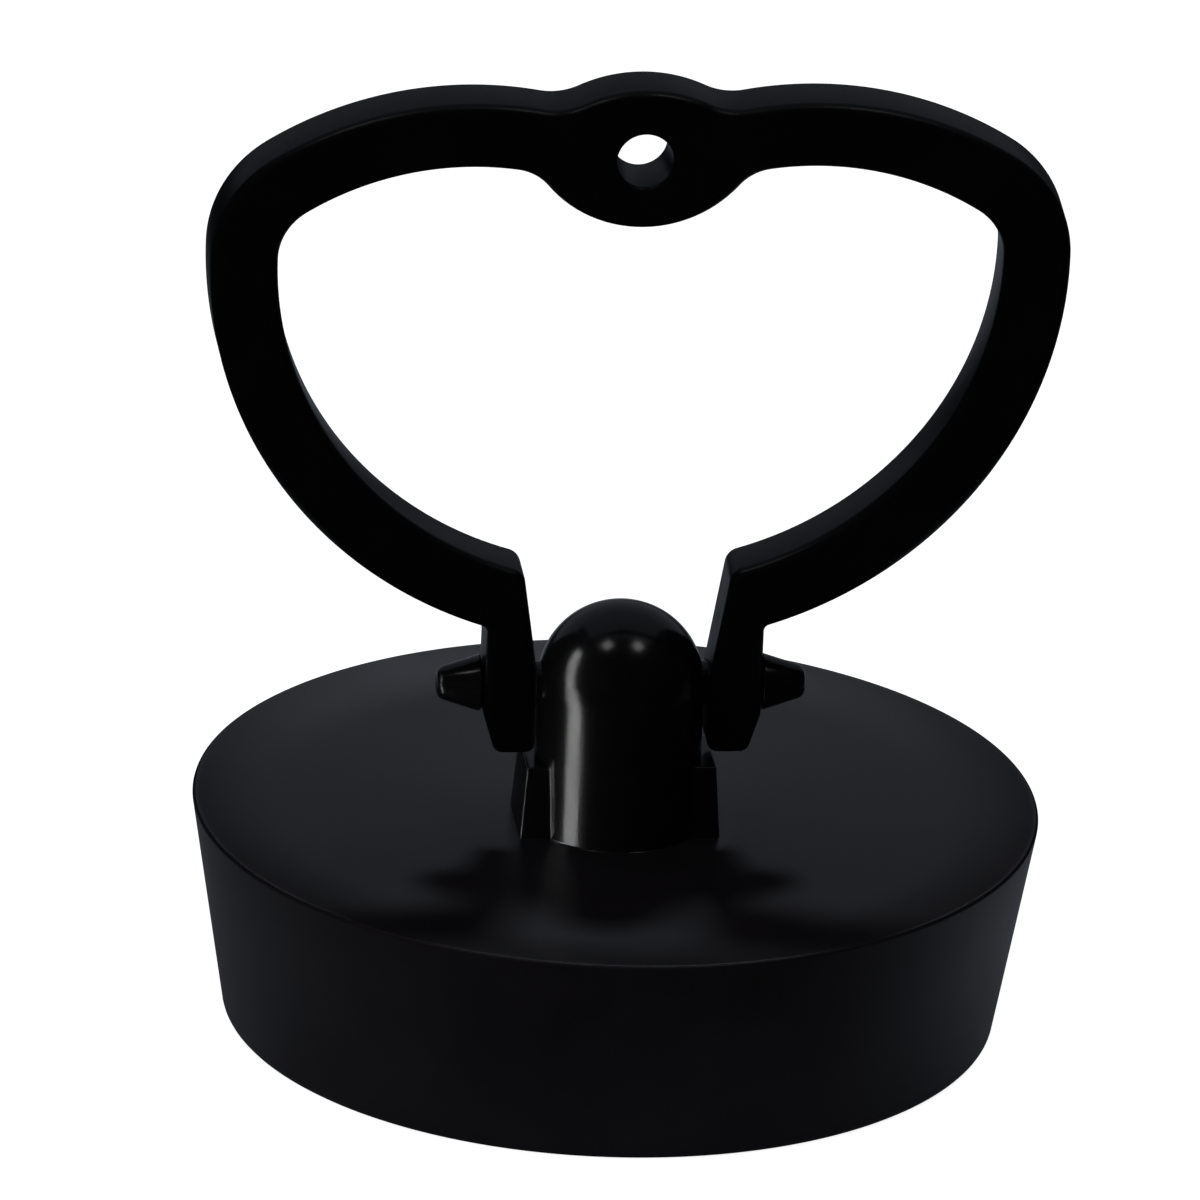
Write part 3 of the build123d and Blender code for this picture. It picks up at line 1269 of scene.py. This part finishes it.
@dataclass(frozen=True)
class Studio:
    """The white backdrop, the pale floor and the lamps. Angles in degrees, lengths in metres.

    The gloss of the pieces shows the floor with painted light on it, only in a path behind the object,
    brighter to the right.
    """

    front: float = PhotoCamera.azimuth
    floor_size: float = 4.0
    floor_height: float = -0.00002
    floor_white: float = 0.9
    floor_colour: float = 0.8
    # Painted light on the floor, seen only in gloss: its level behind and in front, where it fades, and its
    # path across.
    painted_gloss_light_behind: float = 0.63
    painted_gloss_light_before: float = 0.03
    gloss_fade_start: float = -0.005
    gloss_fade_end: float = -0.03
    gloss_reach: float = 0.05
    gloss_lean: float = 0.5
    gloss_path: float = 0.033
    gloss_beside: float = 0.1
    sky_in_gloss: float = 0.006
    sky_on_faces: float = 0.05
    cool: Colour = (0.9, 1.0, 1.16)

    @property
    def back(self) -> float:
        """The azimuth behind the object, seen from the camera."""
        return self.front + 180

    def build(self, plug: bpy.types.Object, post: bpy.types.Object, bail: bpy.types.Object) -> None:
        """Makes the world, the floor and the lamps.

        Args:
            plug: The rubber plug, whose sheen comes from a softbox of its own.
            post: The polished post, which alone is lit by the strips that draw its long highlight.
            bail: The bail, whose gloss and the post's show the backdrop.
        """
        self._world()
        self._floor()
        for softbox in self._open_lamps():
            softbox.build()
        self._kept_to(self._rear_softbox().build(), Role.RECEIVER, plug)
        for softbox in self._backdrop():
            self._kept_to(softbox.build(), Role.RECEIVER, post, bail)
        for softbox in self._strips():
            strip = softbox.build()
            strip.data.cycles.use_multiple_importance_sampling = False
            self._kept_to(strip, Role.RECEIVER, post)
            self._kept_to(strip, Role.BLOCKER, post)

    @staticmethod
    def _kept_to(lamp: bpy.types.Object, role: Role, *pieces: bpy.types.Object) -> None:
        """Keeps a lamp to some pieces, as flags round a studio lamp do.

        Args:
            lamp: The lamp.
            role: Whether the pieces are all that it lights or all that stops its light.
            pieces: The pieces.
        """
        kept = bpy.data.collections.new(f"{lamp.name}_{role.value}")
        for piece in pieces:
            kept.objects.link(piece)
        setattr(lamp.light_linking, f"{role.value}_collection", kept)

    def _open_lamps(self) -> tuple[Softbox, ...]:
        """The lamps that reach everything: two spots that the dome shows and two fills that no gloss shows.

        Returns:
            The lamps.
        """
        left, right, aside = self.front - 53, self.front + 58, self.front - 40
        overhead = (self.back, 50), (self.front, 50)
        ahead = (aside, 0), (aside, 30)
        return (
            Softbox("left_spot", (left, 62), (left, 73), distance=1.0, width=0.2, radiance=3.4),
            Softbox("right_spot", (right, 61), (right, 72), distance=1.0, width=0.2, radiance=3.4),
            Softbox("soft_fill", *overhead, distance=1.0, width=1.4, radiance=0.28, in_gloss=False),
            Softbox("front_fill", *ahead, distance=1.2, width=1.6, radiance=1.6, in_gloss=False),
        )

    def _rear_softbox(self) -> Softbox:
        """The softbox behind the plug that draws the sheen on its top and the shadow in front of the post."""
        ends = (self.back - 2, 37), (self.back - 2, 44)
        return Softbox("rear_softbox", *ends, distance=1.2, width=0.22, radiance=6.0, colour=self.cool)

    def _backdrop(self) -> tuple[Softbox, ...]:
        """The grey backdrop and ceiling that the gloss of the hard plastic shows.

        Returns:
            The two panels.
        """
        upright = (self.back, 2), (self.back, 48)
        overhead = (self.back, 49), (self.back, 95)
        return (
            Softbox("backdrop_panel", *upright, distance=0.9, width=1.6, radiance=0.13, colour=self.cool),
            Softbox("ceiling_panel", *overhead, distance=0.9, width=1.2, radiance=0.14, colour=self.cool),
        )

    def _strips(self) -> tuple[Softbox, ...]:
        """The tall strip to the left of the post, wide below and narrow above, where the dome shows it.

        Returns:
            Its two halves.
        """
        low, middle, high = (self.front - 50, -45), (self.front - 70.3, -4.8), (self.front - 88, 36)
        return (
            Softbox("low_strip", low, middle, distance=0.7, width=0.2, radiance=6.2),
            Softbox("high_strip", middle, high, distance=0.7, width=0.15, radiance=5.4),
        )

    def _world(self) -> None:
        """Makes a world that is white for the camera and through glass, and dim in gloss and on faces."""
        world = bpy.data.worlds.new("studio_world")
        bpy.context.scene.world = world
        nodes = Nodes(world)
        rays = nodes.add("ShaderNodeLightPath").outputs
        gloss = nodes.sum(Sum.TIMES, rays["Is Glossy Ray"], self.sky_in_gloss)
        faces = nodes.sum(Sum.TIMES, rays["Is Diffuse Ray"], self.sky_on_faces)
        level = nodes.sum(Sum.LARGEST, rays["Is Camera Ray"], rays["Is Transmission Ray"], gloss, faces)
        background = nodes.add("ShaderNodeBackground", {"Color": (1, 1, 1, 1), "Strength": level})
        nodes.add("ShaderNodeOutputWorld", {"Surface": background.outputs["Background"]})

    def _floor(self) -> None:
        """Makes the pale floor, which the camera sees white apart from the object's shadow."""
        bm = bmesh.new()
        bmesh.ops.create_grid(bm, x_segments=1, y_segments=1, size=self.floor_size / 2)
        lifted(bm, self.floor_height)
        floor = placed(bm, "studio_floor")
        floor.data.materials.append(self._paper())

    def _paper(self) -> bpy.types.Material:
        """Makes the floor's paper: lit by the lamps, lifted to white for the camera, and dimmer in gloss,
        where painted light lies on it in a path behind the object.

        Returns:
            The paper's material.
        """
        material = bpy.data.materials.new("studio_paper")
        nodes = Nodes(material)
        rays = nodes.add("ShaderNodeLightPath").outputs
        paper = nodes.add("ShaderNodeBsdfDiffuse", {"Color": (self.floor_colour,) * 3 + (1,)})
        lift = nodes.sum(Sum.TIMES, rays["Is Camera Ray"], self.floor_white)
        glow = nodes.add("ShaderNodeEmission", {"Strength": lift})
        lit = nodes.add("ShaderNodeAddShader", {0: paper.outputs["BSDF"], 1: glow.outputs["Emission"]})
        # Painted light: in gloss the paper's colour is a painted path of light behind the object, brighter to
        # the right.
        dim = nodes.add("ShaderNodeBsdfDiffuse", {"Color": self._painted_gloss_light(nodes)})
        choice = {"Fac": rays["Is Glossy Ray"], 1: lit.outputs["Shader"], 2: dim.outputs["BSDF"]}
        seen = nodes.add("ShaderNodeMixShader", choice)
        nodes.add("ShaderNodeOutputMaterial", {"Surface": seen.outputs["Shader"]})
        return material

    def _painted_gloss_light(self, nodes: Nodes) -> bpy.types.NodeSocket:
        """Adds the painted light that the paper shows in gloss: bright in a path behind the object, brighter
        to the right, dim in front and beside.

        Args:
            nodes: The paper's nodes.

        Returns:
            The painted light, as a colour.
        """
        place = nodes.add("ShaderNodeTexCoord").outputs["Object"]
        parts = nodes.add("ShaderNodeSeparateXYZ", {"Vector": place}).outputs
        fade = (self.gloss_fade_end, self.gloss_fade_start)
        behind = nodes.ranged(parts["Y"], fade, (self.painted_gloss_light_before, self.painted_gloss_light_behind))
        whole = (-self.gloss_reach, self.gloss_reach)
        across = nodes.ranged(parts["X"], whole, (1 - self.gloss_lean, 1 + self.gloss_lean))
        off_middle = nodes.sum(Sum.WITHOUT_SIGN, parts["X"], 0.0)
        beside = nodes.ranged(off_middle, (self.gloss_path, self.gloss_reach), (1.0, self.gloss_beside))
        level = nodes.sum(Sum.TIMES, behind, across, beside)
        tint = {"Vector": self.cool, "Scale": level}
        return nodes.add("ShaderNodeVectorMath", tint, operation="SCALE").outputs["Vector"]


def main() -> None:
    """Builds the camera, the three mouldings and the studio."""
    logging.basicConfig(level=logging.INFO, format="%(name)s: %(message)s")
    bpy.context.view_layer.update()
    bpy.context.scene.view_settings.view_transform = "Standard"
    PhotoCamera().build()

    polished = BlackPlastic(
        name="polished_black_plastic",
        colour=(0.0015, 0.0015, 0.0018),
        patch_colour=(0.0024, 0.0024, 0.00288),
        roughness=(0.15, 0.18),
        specular=0.35,
        swell_depth=0.000008,
    )
    satin = BlackPlastic(
        name="satin_black_plastic",
        colour=(0.0012, 0.0012, 0.0016),
        patch_colour=(0.00192, 0.00192, 0.00256),
        roughness=(0.3, 0.36),
        specular=0.2,
        swell_depth=0.000006,
    )
    pieces = []
    for moulding, finish in ((RubberPlug(), MouldedRubber()), (Post(), polished), (HeartBail(), satin)):
        piece = moulding.build()
        moulding.dress(piece, finish)
        log.info("%s: %d faces, %s", piece.name, len(piece.data.polygons), finish.name)
        pieces.append(piece)
    Studio().build(*pieces)


if __name__ == "__main__":
    main()
